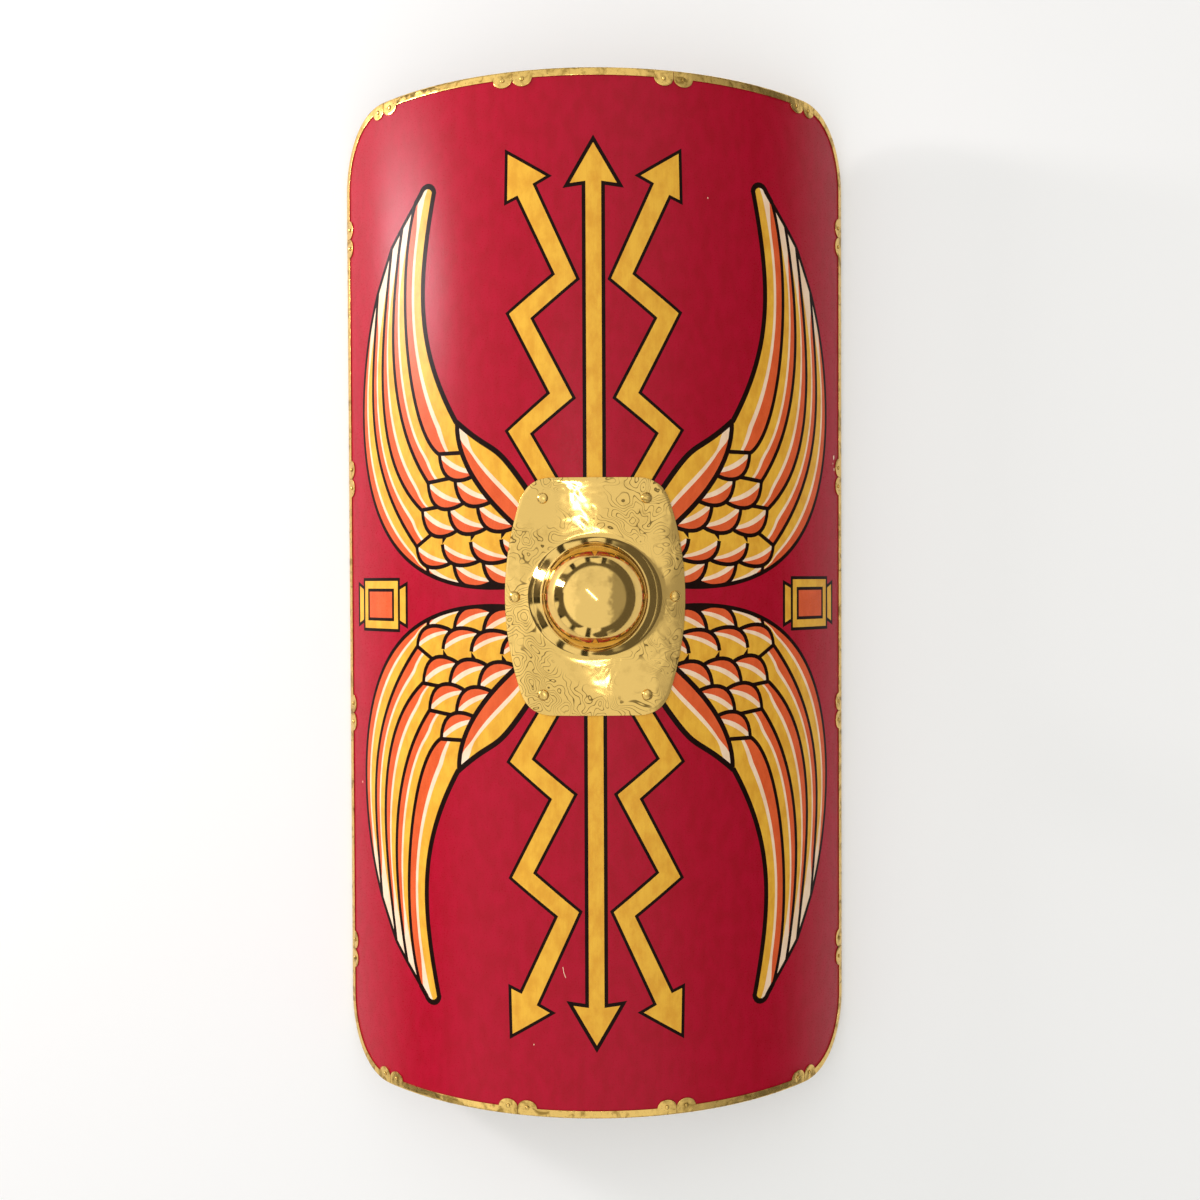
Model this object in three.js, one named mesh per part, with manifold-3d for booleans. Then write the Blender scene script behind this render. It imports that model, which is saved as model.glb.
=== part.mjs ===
import * as THREE from 'three';
import { mergeVertices } from 'three/addons/utils/BufferGeometryUtils.js';
import Module from 'manifold-3d';

// Roman legionary shield, life size, lying face up on its two long rims. Lengths in millimetres.
// X runs across the shield, Y from its foot to its head, Z up. The origin is under its middle.
// Pieces are laid out flat (s along the curve, y along the height, t out from the painted face)
// and then wrapped onto the curve.

// Board
const HEIGHT = 1050; // foot to head, over the edging
const WRAP = 650; // side to side along the curve of the face, over the edging
const FACE_RADIUS = 330; // curve of the painted face
const BOARD_THICKNESS = 7;
const CORNER_RADIUS = 80;
const HAND_HOLE_RADIUS = 53;
const FACETS = 32; // flats around the curve

// Brass edging: channel strips folded over the rim, a tacked lobe on the face at each strip end
const SHEET = 0.8;
const STRIP_WIDTH = 8;
const LOBE_WIDTH = 20;
const LOBE_DEPTH = 16; // from the rim to the tip of a lobe
const JOINTS_ACROSS = [-3, -1, 1, 3]; // along head and foot, in eighths of the wrap
const JOINTS_UP = [-395, -130, 130, 395]; // along the long sides, from the middle
const JOINT_GAP = 0.4;
const EDGE_GAP = 0.4;
const FACE_GAP = 0.3;
const TACK_INSET = 8.5; // tack centre from the rim
const TACK_HEAD_RADIUS = 2.2;
const TACK_HEAD_HEIGHT = 1.1;
const TACK_SHANK_RADIUS = 1;
const TACK_DEPTH = 5.5; // point below the painted face
const HOLE_CLEARANCE = 0.35;

// Brass boss
const BOSS_SHEET = 1.2;
const BOSS_HALF_HEIGHT = 119;
const BOSS_HALF_WIDTH = 91;
const BOSS_END_HALF_WIDTH = 43; // straight run of the head and foot edges
const BOSS_SHOULDER_X = 75;
const BOSS_SHOULDER_Y = 97;
const DOME_HEIGHT = 56; // above the plate
const DOME_RADIUS = 51;
const DOME_NECK_Z = 13; // height of the widest part of the dome above the plate
const SKIRT_RADIUS = 61; // where the skirt meets the plate along the middle line
const SKIRT_DROP = 13; // how far the skirt runs on down to meet the plate at its sides
const DOME_SIDES = 28;
const DOME_RINGS = 5;
const RIVET_HEAD_RADIUS = 5.6;
const RIVET_HEAD_HEIGHT = 3;
const RIVET_SHANK_RADIUS = 2.4;
const RIVET_TAIL_RADIUS = 4.4;
const RIVET_TAIL_HEIGHT = 1.6;
const CORNER_RIVET_S = 52;
const CORNER_RIVET_Y = 98.5;

// Wooden grip across the hand hole
const GRIP_THICKNESS = 15;
const GRIP_WIDTH = 30;
const GRIP_CHAMFER = 3;
const GRIP_END_S = 105;

const FACET = WRAP / FACETS;
const BACK = -BOARD_THICKNESS - FACE_GAP;
const AXIS_Z = -(FACE_RADIUS + BACK - SHEET) * Math.cos(WRAP / 2 / FACE_RADIUS);
const STRAIGHTS = [WRAP - 2 * CORNER_RADIUS, HEIGHT - 2 * CORNER_RADIUS];
const REACHES = [HEIGHT / 2, WRAP / 2];
const CORNER_ARC = CORNER_RADIUS * Math.PI / 2;
const SIDE_RIVET_S = 4 * FACET;

const BRASS = { color: 0xc9a24a, roughness: 0.25, metalness: 1 };
const RED_BOARD = { color: 0xa8102a, roughness: 0.4, metalness: 0 };
const GRIP_WOOD = { color: 0x9a6b3f, roughness: 0.6, metalness: 0 };

const wasm = await Module();
wasm.setup();

// Wraps a flat point onto the faceted curve.
function wrap(s, y, t) {
  const first = Math.min(Math.max(Math.floor(s / FACET), -FACETS / 2), FACETS / 2 - 1);
  const share = s / FACET - first;
  const start = first * FACET / FACE_RADIUS;
  const end = (first + 1) * FACET / FACE_RADIUS;
  const radius = FACE_RADIUS + t;
  const x = radius * ((1 - share) * Math.sin(start) + share * Math.sin(end));
  const z = radius * ((1 - share) * Math.cos(start) + share * Math.cos(end)) + AXIS_Z;
  return new THREE.Vector3(x, y, z);
}

// Lean of the face at s: that of the flat it lies on, or of the fold when it lies on one.
function lean(s) {
  const place = s / FACET;
  const onFold = Math.abs(place - Math.round(place)) < 0.05;
  const middle = onFold ? Math.round(place) : Math.floor(place) + 0.5;
  return middle * FACET / FACE_RADIUS;
}

// Flat point of the rounded outline, a distance along it and inset from it. The outline starts
// where the straight foot edge starts and runs round by the right side.
function edgePoint(along, inset) {
  let run = 0;
  let rest = along;
  while (rest > STRAIGHTS[run % 2] + CORNER_ARC) {
    rest -= STRAIGHTS[run % 2] + CORNER_ARC;
    run += 1;
  }
  const straight = STRAIGHTS[run % 2];
  const turn = Math.max(0, rest - straight) / CORNER_RADIUS;
  const radius = CORNER_RADIUS - inset;
  const forward = Math.min(rest, straight) - straight / 2 + radius * Math.sin(turn);
  const outward = REACHES[run % 2] - CORNER_RADIUS + radius * Math.cos(turn);
  const heading = run * Math.PI / 2;
  return [
    forward * Math.cos(heading) + outward * Math.sin(heading),
    forward * Math.sin(heading) - outward * Math.cos(heading),
  ];
}

// Distance along the outline of a place measured from the middle of one of its four runs.
function outlinePlace(run, forward) {
  let start = 0;
  for (let k = 0; k < run; k += 1) {
    start += STRAIGHTS[k % 2] + CORNER_ARC;
  }
  return start + STRAIGHTS[run % 2] / 2 + forward;
}

function reshape(geometry, place) {
  const position = geometry.attributes.position;
  for (let i = 0; i < position.count; i += 1) {
    const point = place(position.getX(i), position.getY(i), position.getZ(i));
    position.setXYZ(i, point.x, point.y, point.z);
  }
  return geometry;
}

function toSolid(geometry) {
  geometry.deleteAttribute('normal');
  geometry.deleteAttribute('uv');
  const merged = mergeVertices(geometry, 1e-5);
  return new wasm.Manifold(new wasm.Mesh({
    numProp: 3,
    vertProperties: new Float32Array(merged.attributes.position.array),
    triVerts: new Uint32Array(merged.index.array),
  }));
}

// Stands an object out from the face at a place, its Y axis straight out of the board.
function standOut(object, s, y) {
  object.position.copy(wrap(s, y, 0));
  object.rotation.set(Math.PI / 2, lean(s), 0, 'YXZ');
  object.updateMatrix();
  return object;
}

// Straight round hole at a place, from a depth below the face upward.
function drill(s, y, radius, sides, bottom = -60) {
  const cylinder = new THREE.CylinderGeometry(radius, radius, 60 - bottom, sides);
  cylinder.translate(0, (60 + bottom) / 2, 0);
  return toSolid(cylinder.applyMatrix4(standOut(new THREE.Object3D(), s, y).matrix));
}

function turned(profile, sides) {
  return new THREE.LatheGeometry(profile.map(([r, h]) => new THREE.Vector2(r, h)), sides);
}

// Curved sheet between two heights over the face, out to given half sizes.
function slab(halfWrap, halfHeight, low, high) {
  const geometry = new THREE.BoxGeometry(WRAP, 2 * halfHeight, high - low, FACETS, 1, 1);
  geometry.translate(0, 0, (low + high) / 2);
  const limit = (s) => Math.max(-halfWrap, Math.min(halfWrap, s));
  return toSolid(reshape(geometry, (s, y, t) => wrap(limit(s), y, t)));
}

// Joints of the edging in order around the outline, the strips between them and their tacks
const joints = [0, 1, 2, 3].flatMap((run) => {
  const places = run % 2 === 0 ? JOINTS_ACROSS.map((n) => n * WRAP / 8) : JOINTS_UP;
  return places.map((place) => outlinePlace(run, place));
});
const around = outlinePlace(4, 0) - outlinePlace(0, 0);
const strips = joints.map((start, i) => {
  const next = i + 1 < joints.length ? joints[i + 1] : joints[0] + around;
  return [start + JOINT_GAP / 2, next - JOINT_GAP / 2];
});
const tacks = strips.flatMap(([start, end]) => [
  edgePoint(start + LOBE_WIDTH / 2, TACK_INSET),
  edgePoint(end - LOBE_WIDTH / 2, TACK_INSET),
]);

// Rivets of the boss: four near its corners, and two at mid height that also hold the grip
const rivets = [
  [-CORNER_RIVET_S, -CORNER_RIVET_Y],
  [CORNER_RIVET_S, -CORNER_RIVET_Y],
  [-CORNER_RIVET_S, CORNER_RIVET_Y],
  [CORNER_RIVET_S, CORNER_RIVET_Y],
  [-SIDE_RIVET_S, 0],
  [SIDE_RIVET_S, 0],
];

// Waste outside one rounded corner of the board; quarters count round from the head right one.
function cornerWaste(quarter) {
  const radius = CORNER_RADIUS - SHEET - EDGE_GAP;
  const sides = [1, -1, -1, 1];
  const s = sides[quarter] * (WRAP / 2 - CORNER_RADIUS);
  const y = sides[(quarter + 3) % 4] * (HEIGHT / 2 - CORNER_RADIUS);
  const start = quarter * Math.PI / 2;
  const far = radius + 10;
  const [c, d] = [Math.cos(start), Math.sin(start)];
  const shape = new THREE.Shape();
  shape.absarc(s, y, radius, start, start + Math.PI / 2, false);
  shape.lineTo(s - far * d, y + far * c);
  shape.lineTo(s + far * (c - d), y + far * (c + d));
  shape.lineTo(s + far * c, y + far * d);
  const depth = BOARD_THICKNESS + 20;
  const waste = new THREE.ExtrudeGeometry(shape, { depth, bevelEnabled: false, curveSegments: 12 });
  waste.translate(0, 0, -BOARD_THICKNESS - 10);
  return toSolid(reshape(waste, wrap));
}

function makeBoard() {
  const inset = SHEET + EDGE_GAP;
  let board = slab(WRAP / 2 - inset, HEIGHT / 2 - inset, -BOARD_THICKNESS, 0);
  for (const quarter of [0, 1, 2, 3]) {
    board = board.subtract(cornerWaste(quarter));
  }
  board = board.subtract(drill(0, 0, HAND_HOLE_RADIUS, 32));
  for (const [s, y] of tacks) {
    board = board.subtract(drill(s, y, TACK_SHANK_RADIUS + HOLE_CLEARANCE, 5, -TACK_DEPTH - FACE_GAP));
  }
  for (const [s, y] of rivets) {
    board = board.subtract(drill(s, y, RIVET_SHANK_RADIUS + HOLE_CLEARANCE, 8));
  }
  return board;
}

// One channel strip of the edging between two places of the outline.
function makeStrip(start, end, steps) {
  const top = FACE_GAP + SHEET;
  const bottom = BACK - SHEET;
  const channel = new THREE.Shape();
  channel.moveTo(0, bottom);
  channel.lineTo(STRIP_WIDTH, bottom);
  channel.lineTo(STRIP_WIDTH, bottom + SHEET);
  channel.lineTo(SHEET, bottom + SHEET);
  channel.lineTo(SHEET, top - SHEET);
  channel.lineTo(STRIP_WIDTH, top - SHEET);
  channel.lineTo(STRIP_WIDTH, top);
  channel.lineTo(0, top);
  const swept = new THREE.ExtrudeGeometry(channel, { depth: end - start, steps, bevelEnabled: false });
  let strip = toSolid(reshape(swept, (inset, t, along) => wrap(...edgePoint(start + along, inset), t)));

  const lobe = new THREE.Shape();
  lobe.moveTo(0, STRIP_WIDTH - 1);
  lobe.lineTo(LOBE_WIDTH, STRIP_WIDTH - 1);
  lobe.absellipse(LOBE_WIDTH / 2, STRIP_WIDTH, LOBE_WIDTH / 2, LOBE_DEPTH - STRIP_WIDTH, 0, Math.PI, false);
  for (const from of [start, end - LOBE_WIDTH]) {
    const flat = new THREE.ExtrudeGeometry(lobe, { depth: SHEET, bevelEnabled: false, curveSegments: 6 });
    flat.translate(from, 0, FACE_GAP);
    strip = strip.add(toSolid(reshape(flat, (along, inset, t) => wrap(...edgePoint(along, inset), t))));
    const tack = edgePoint(from + LOBE_WIDTH / 2, TACK_INSET);
    strip = strip.subtract(drill(...tack, TACK_SHANK_RADIUS + HOLE_CLEARANCE, 5, -FACE_GAP));
  }
  return strip;
}

function makeTack() {
  const under = SHEET + 2 * FACE_GAP;
  return toSolid(turned([
    [0, -TACK_DEPTH],
    [TACK_SHANK_RADIUS, under - 2],
    [TACK_SHANK_RADIUS, under],
    [TACK_HEAD_RADIUS, under],
    [0, under + TACK_HEAD_HEIGHT],
  ], 6));
}

// The dome with its skirt, drawn in by a wall thickness and closed far below the plate.
function makeDome(wall) {
  const radius = DOME_RADIUS - wall;
  const rise = DOME_HEIGHT - DOME_NECK_Z - wall;
  const skirt = SKIRT_RADIUS - wall * Math.SQRT2;
  const profile = [
    [0, -40],
    [skirt + SKIRT_DROP, -40],
    [skirt + SKIRT_DROP, -SKIRT_DROP],
    [skirt, 0],
    [radius + (skirt - radius) * 0.4, DOME_NECK_Z * 0.36],
  ];
  for (let ring = 0; ring < DOME_RINGS; ring += 1) {
    const angle = ring / DOME_RINGS * Math.PI / 2;
    profile.push([radius * Math.cos(angle), DOME_NECK_Z + rise * Math.sin(angle)]);
  }
  profile.push([0, DOME_NECK_Z + rise]);
  const dome = turned(profile, DOME_SIDES);
  dome.rotateX(Math.PI / 2);
  dome.translate(0, 0, FACE_RADIUS + AXIS_Z + FACE_GAP + BOSS_SHEET);
  return toSolid(dome);
}

function makeBoss() {
  const [x, y] = [BOSS_SHOULDER_X, BOSS_SHOULDER_Y];
  const bulge = 2 * BOSS_HALF_WIDTH - x;
  const outline = new THREE.Shape();
  outline.moveTo(-BOSS_END_HALF_WIDTH, -BOSS_HALF_HEIGHT);
  outline.lineTo(BOSS_END_HALF_WIDTH, -BOSS_HALF_HEIGHT);
  outline.quadraticCurveTo(x - 8, -BOSS_HALF_HEIGHT, x, -y);
  outline.quadraticCurveTo(bulge, 0, x, y);
  outline.quadraticCurveTo(x - 8, BOSS_HALF_HEIGHT, BOSS_END_HALF_WIDTH, BOSS_HALF_HEIGHT);
  outline.lineTo(-BOSS_END_HALF_WIDTH, BOSS_HALF_HEIGHT);
  outline.quadraticCurveTo(8 - x, BOSS_HALF_HEIGHT, -x, y);
  outline.quadraticCurveTo(-bulge, 0, -x, -y);
  outline.quadraticCurveTo(8 - x, -BOSS_HALF_HEIGHT, -BOSS_END_HALF_WIDTH, -BOSS_HALF_HEIGHT);
  const cut = new THREE.ExtrudeGeometry(outline, { depth: 300, bevelEnabled: false, curveSegments: 7 });

  const low = FACE_GAP;
  let boss = slab(WRAP / 4, HEIGHT / 4, low - 30, low + BOSS_SHEET);
  boss = boss.intersect(toSolid(cut));
  boss = boss.add(makeDome(0));
  boss = boss.subtract(makeDome(BOSS_SHEET));
  boss = boss.subtract(slab(WRAP / 3, HEIGHT / 3, low - 100, low));
  for (const rivet of rivets) {
    boss = boss.subtract(drill(...rivet, RIVET_SHANK_RADIUS + HOLE_CLEARANCE, 8));
  }
  return boss;
}

// Domed rivet through the boss plate, closed at the given height behind the face.
function makeRivet(behind) {
  const under = BOSS_SHEET + 2 * FACE_GAP;
  return toSolid(turned([
    [0, behind - RIVET_TAIL_HEIGHT],
    [RIVET_TAIL_RADIUS, behind - RIVET_TAIL_HEIGHT],
    [RIVET_TAIL_RADIUS, behind],
    [RIVET_SHANK_RADIUS, behind],
    [RIVET_SHANK_RADIUS, under],
    [RIVET_HEAD_RADIUS, under],
    [RIVET_HEAD_RADIUS * 0.74, under + RIVET_HEAD_HEIGHT * 0.72],
    [0, under + RIVET_HEAD_HEIGHT],
  ], 8));
}

// Grip bar: straight behind the hand hole, its ends bent to seat on the back of the board.
function makeGrip() {
  const seats = [3 * FACET, SIDE_RIVET_S, 5 * FACET, GRIP_END_S];
  const near = seats.map((s) => wrap(s, 0, BACK));
  const far = seats.map((s) => wrap(s, 0, BACK - GRIP_THICKNESS));
  const half = [...far, ...near.reverse()];
  const outline = new THREE.Shape();
  outline.moveTo(half[0].x, half[0].z);
  half.slice(1).forEach((point) => outline.lineTo(point.x, point.z));
  half.reverse().forEach((point) => outline.lineTo(-point.x, point.z));
  const bar = new THREE.ExtrudeGeometry(outline, {
    depth: GRIP_WIDTH - 2 * GRIP_CHAMFER,
    bevelThickness: GRIP_CHAMFER,
    bevelSize: GRIP_CHAMFER,
    bevelOffset: -GRIP_CHAMFER,
    bevelSegments: 1,
  });
  bar.rotateX(Math.PI / 2);
  bar.translate(0, GRIP_WIDTH / 2 - GRIP_CHAMFER, 0);
  let grip = toSolid(bar);
  for (const s of [-SIDE_RIVET_S, SIDE_RIVET_S]) {
    grip = grip.subtract(drill(s, 0, RIVET_SHANK_RADIUS + HOLE_CLEARANCE, 8));
  }
  return grip;
}

const shield = new THREE.Group();

function addPiece(name, solid, look) {
  const mesh = solid.getMesh();
  const geometry = new THREE.BufferGeometry();
  geometry.setAttribute('position', new THREE.BufferAttribute(mesh.vertProperties, 3));
  geometry.setIndex(new THREE.BufferAttribute(mesh.triVerts, 1));
  const piece = new THREE.Mesh(geometry, new THREE.MeshStandardMaterial(look));
  piece.name = name;
  shield.add(piece);
  return piece;
}

const numbered = (name, i) => `${name}_${String(i + 1).padStart(2, '0')}`;

addPiece('board', makeBoard(), RED_BOARD);
strips.forEach(([start, end], i) => {
  const roundsCorner = i % 4 === 3;
  const liesStraight = i % 8 > 3;
  const steps = roundsCorner ? 14 : liesStraight ? 1 : FACETS / 4;
  addPiece(numbered('edging', i), makeStrip(start, end, steps), BRASS);
});
tacks.forEach((place, i) => {
  standOut(addPiece(numbered('tack', i), makeTack(), BRASS), ...place);
});
addPiece('boss', makeBoss(), BRASS);
rivets.forEach(([s, y], i) => {
  const behind = y === 0 ? BACK - GRIP_THICKNESS - FACE_GAP : BACK;
  standOut(addPiece(numbered('rivet', i), makeRivet(behind), BRASS), s, y);
});
addPiece('grip', makeGrip(), GRIP_WOOD);

export default shield;
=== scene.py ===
from math import atan2, copysign, cos, hypot, pi, radians, sin, sqrt

import bmesh
import bpy
import numpy as np
from mathutils import Matrix, Vector, noise
from mathutils.geometry import delaunay_2d_cdt


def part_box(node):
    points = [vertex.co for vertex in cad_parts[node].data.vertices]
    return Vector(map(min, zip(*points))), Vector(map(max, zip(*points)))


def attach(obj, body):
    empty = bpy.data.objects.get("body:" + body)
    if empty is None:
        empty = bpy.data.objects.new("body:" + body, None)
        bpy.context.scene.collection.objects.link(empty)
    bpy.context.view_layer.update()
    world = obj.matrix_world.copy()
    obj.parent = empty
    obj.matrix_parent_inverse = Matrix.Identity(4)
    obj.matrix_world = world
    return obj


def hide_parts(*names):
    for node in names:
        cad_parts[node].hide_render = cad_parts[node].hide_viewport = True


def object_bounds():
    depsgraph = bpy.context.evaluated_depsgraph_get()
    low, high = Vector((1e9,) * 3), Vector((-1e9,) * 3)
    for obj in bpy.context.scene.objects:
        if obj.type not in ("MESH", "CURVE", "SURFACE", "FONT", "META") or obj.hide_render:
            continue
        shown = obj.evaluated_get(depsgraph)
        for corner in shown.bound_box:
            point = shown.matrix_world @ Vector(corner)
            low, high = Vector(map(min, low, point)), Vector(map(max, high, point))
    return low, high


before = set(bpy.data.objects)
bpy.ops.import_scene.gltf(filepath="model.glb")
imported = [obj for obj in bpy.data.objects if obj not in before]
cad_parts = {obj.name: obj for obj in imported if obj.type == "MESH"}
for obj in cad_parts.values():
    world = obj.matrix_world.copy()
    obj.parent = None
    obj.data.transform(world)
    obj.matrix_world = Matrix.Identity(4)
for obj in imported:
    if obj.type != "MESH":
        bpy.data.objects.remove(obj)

bl_info = {
    "name": "Legionary Shield",
    "version": (1, 0, 0),
    "blender": (4, 5, 0),
    "location": "3D View > Sidebar > Shield",
    "description": "Builds a curved Roman legionary shield with painted wings and thunderbolts",
    "category": "Add Mesh",
}

MM = 0.001
FRAME_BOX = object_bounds()
BOARD_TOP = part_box("board")[1][2]
STRIPS = [f"edging_{n:02d}" for n in range(1, 17)]
TACKS = [f"tack_{n:02d}" for n in range(1, 33)]
RIVETS = [f"rivet_{n:02d}" for n in range(1, 7)]
GAP = 0.3 * MM  # what two pieces that lie on each other keep between them
BOARD_INSET = 1.2 * MM  # how far the board's edge lies inside the folded edging
TACK_INSET = 8.5 * MM
RIVET_CORNER = (52 * MM, 98.5 * MM)
GRIP_THICKNESS = 15 * MM


def linear(srgb):
    """Turn an sRGB hex colour into the linear colour that Blender works in."""
    values = [int(srgb[n:n + 2], 16) / 255 for n in (0, 2, 4)]
    return tuple(v / 12.92 if v <= 0.04045 else ((v + 0.055) / 1.055) ** 2.4 for v in values)


# ---------------------------------------------------------------- sizes and colours

def length(name, description, default):
    return bpy.props.FloatProperty(
        name=name, description=description, default=default * MM, unit="LENGTH", subtype="DISTANCE",
        precision=4)


def colour(name, description, default):
    return bpy.props.FloatVectorProperty(
        name=name, description=description, default=linear(default), subtype="COLOR",
        min=0.0, max=1.0)


class ShieldBoard(bpy.types.PropertyGroup):
    wrap: length("Width round the curve", "Side to side along the painted face, over the edging", 650)
    height: length("Height", "Foot to head, over the edging", 1050)
    radius: length("Curve", "Radius of the painted face", 330)
    corner: length("Corners", "Radius of the rounded corners", 80)
    thickness: length("Thickness", "Thickness of the board", 7)
    hand_hole: length("Hand hole", "Radius of the hole behind the boss", 53)


class ShieldPaint(bpy.types.PropertyGroup):
    field: colour("Field", "Red of the ground", "B00028")
    yellow: colour("Yellow", "Yellow of the feathers and thunderbolts", "EFB73C")
    orange: colour("Orange", "Orange of the feathers", "E4602F")
    cream: colour("Cream", "Cream of the feather highlights", "FBDDBE")
    outline: colour("Outline", "Brown black of the outlines", "1E0A04")
    line: length("Outline width", "Width of the painted outlines", 4.2)


class ShieldBrass(bpy.types.PropertyGroup):
    sheet: length("Edging sheet", "Thickness of the edging", 0.8)
    leg: length("Edging width", "Width of the edging on the face", 8)
    lobe_width: length("Lobe width", "Width of a tacked lobe", 20)
    lobe_reach: length("Lobe reach", "From the rim to the tip of a lobe", 16)
    metal: colour("Brass", "Colour of clean brass", "E6C06E")
    tarnish: colour("Tarnish", "Colour of dulled brass", "8A6A2C")


class ShieldBoss(bpy.types.PropertyGroup):
    sheet: length("Sheet", "Thickness of the boss", 1.2)
    dome_height: length("Dome height", "Dome above its plate", 56)
    dome_radius: length("Dome radius", "Widest part of the dome", 51)
    skirt_radius: length("Skirt radius", "Where the skirt meets the plate", 61)
    half_height: length("Half height", "Half height of the plate", 119)
    half_width: length("Half width", "Half width of the plate", 91)


class ShieldWood(bpy.types.PropertyGroup):
    ply: colour("Board wood", "Bare back of the board", "C79A63")
    grip: colour("Grip wood", "Oiled hand grip", "9A6B3F")


# ---------------------------------------------------------------- shaping helpers

def wrap(point):
    """Lay a flat point (along the curve, up the height, out from the face) on the curve."""
    radius = bpy.context.scene.shield_board.radius
    s, y, t = point
    across = (radius + t) * sin(s / radius)
    up = (radius + t) * cos(s / radius) + BOARD_TOP - radius
    return Vector((across, y, up))


def only(obj):
    """Select one object alone and make it the one that operators work on."""
    bpy.ops.object.select_all(action="DESELECT")
    obj.select_set(True)
    bpy.context.view_layer.objects.active = obj
    return obj


def name_it(name):
    obj = bpy.context.object
    obj.name = name
    obj.data.name = name
    return obj


def modify(obj, kind, **settings):
    only(obj)
    modifier = obj.modifiers.new(kind.title(), kind)
    for key, value in settings.items():
        setattr(modifier, key, value)
    bpy.ops.object.modifier_apply(modifier=modifier.name)


def tidy_shell(obj):
    """Merge the seams and poles of a shell and turn its faces outward."""
    only(obj)
    bpy.ops.object.mode_set(mode="EDIT")
    bpy.ops.mesh.select_all(action="SELECT")
    bpy.ops.mesh.remove_doubles(threshold=0.00001)
    bpy.ops.mesh.normals_make_consistent(inside=False)
    bpy.ops.object.mode_set(mode="OBJECT")


def smooth(obj, degrees):
    only(obj)
    bpy.ops.object.shade_smooth_by_angle(angle=radians(degrees))


def place_points(obj, place):
    for vertex in obj.data.vertices:
        vertex.co = place(vertex.co)


def sheet_blank(name, columns, rows, place):
    """A flat blank of metal, cut and shaped by place(u, v) for u and v from 0 to 1."""
    bpy.ops.object.select_all(action="DESELECT")
    bpy.ops.mesh.primitive_grid_add(x_subdivisions=columns, y_subdivisions=rows, size=1)
    obj = name_it(name)
    place_points(obj, lambda co: place(co.x + 0.5, co.y + 0.5))
    return obj


def turned(name, profile, sides):
    """Turn a solid from (radius, height) pairs that start and end on the axis."""
    radius, height = profile[1]
    bpy.ops.object.select_all(action="DESELECT")
    bpy.ops.mesh.primitive_circle_add(
        vertices=sides, radius=radius, fill_type="TRIFAN", location=(0, 0, height))
    obj = name_it(name)
    place_points(obj, lambda co: co + Vector((0, 0, height)))
    obj.location = (0, 0, 0)
    centre = min(obj.data.vertices, key=lambda v: hypot(v.co.x, v.co.y))
    centre.co.z = profile[0][1]
    bpy.ops.object.mode_set(mode="EDIT")
    bpy.ops.mesh.select_all(action="SELECT")
    bpy.ops.mesh.region_to_loop()
    for r, h in profile[2:-1]:
        bpy.ops.mesh.extrude_edges_move(TRANSFORM_OT_translate={"value": (0, 0, h - height)})
        share = r / radius
        bpy.ops.transform.resize(value=(share, share, 1))
        radius, height = r, h
    bpy.ops.mesh.extrude_edges_move(
        TRANSFORM_OT_translate={"value": (0, 0, profile[-1][1] - height)})
    bpy.ops.mesh.merge(type="CENTER")
    bpy.ops.object.mode_set(mode="OBJECT")
    tidy_shell(obj)
    return obj


def copy_of(obj, name):
    twin = obj.copy()
    twin.data = obj.data.copy()
    twin.name = name
    twin.data.name = name
    bpy.context.scene.collection.objects.link(twin)
    return twin


def stand_on_face(obj, s, y):
    """Move a piece made on the Z axis to its place on the curve, its axis out of the board."""
    radius = bpy.context.scene.shield_board.radius
    turn = Matrix.Translation(wrap((s, y, 0))) @ Matrix.Rotation(s / radius, 4, "Y")
    obj.data.transform(turn)


def finish(obj, slot, nodes, *materials):
    for material in materials:
        obj.data.materials.append(material)
    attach(obj, "root")
    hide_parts(*nodes)


def bezier(points, steps, until=1.0):
    a, b, c, d = (Vector(p) for p in points)
    curve = []
    for n in range(steps + 1):
        t = until * n / steps
        curve.append((1 - t) ** 3 * a + 3 * (1 - t) ** 2 * t * b + 3 * (1 - t) * t ** 2 * c
                     + t ** 3 * d)
    return curve


def ease(value):
    value = min(max(value, 0.0), 1.0)
    return value * value * (3 - 2 * value)


# ---------------------------------------------------------------- outline of the shield

def outline_point(along, inset, board):
    """Flat point and place on the rounded outline, a distance along it and inset from it.
    The outline starts where the straight foot edge starts and runs round by the right side."""
    straights = (board.wrap - 2 * board.corner, board.height - 2 * board.corner)
    reaches = (board.height / 2, board.wrap / 2)
    arc = board.corner * pi / 2
    run = 0
    while along > straights[run % 2] + arc:
        along -= straights[run % 2] + arc
        run += 1
    straight = straights[run % 2]
    turn = max(0.0, along - straight) / board.corner
    radius = board.corner - inset
    forward = min(along, straight) - straight / 2 + radius * sin(turn)
    outward = reaches[run % 2] - board.corner + radius * cos(turn)
    heading = run * pi / 2
    return Vector((forward * cos(heading) + outward * sin(heading),
                   forward * sin(heading) - outward * cos(heading)))


def strip_ends(board):
    """Start and end of the sixteen strips, measured along the outline."""
    straights = (board.wrap - 2 * board.corner, board.height - 2 * board.corner)
    arc = board.corner * pi / 2
    across = [n * board.wrap / 8 for n in (-3, -1, 1, 3)]
    upward = [n * MM for n in (-395, -130, 130, 395)]
    joints = []
    start = 0.0
    for run in range(4):
        straight = straights[run % 2]
        joints += [start + straight / 2 + place for place in (across, upward)[run % 2]]
        start += straight + arc
    joints.append(joints[0] + start)
    return [(a + 0.2 * MM, b - 0.2 * MM) for a, b in zip(joints, joints[1:])]


# ---------------------------------------------------------------- painted pattern
# The old legionary device: wings and thunderbolts round the boss, the same in each quarter.
# Lengths are in millimetres from the middle of the shield.

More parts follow.
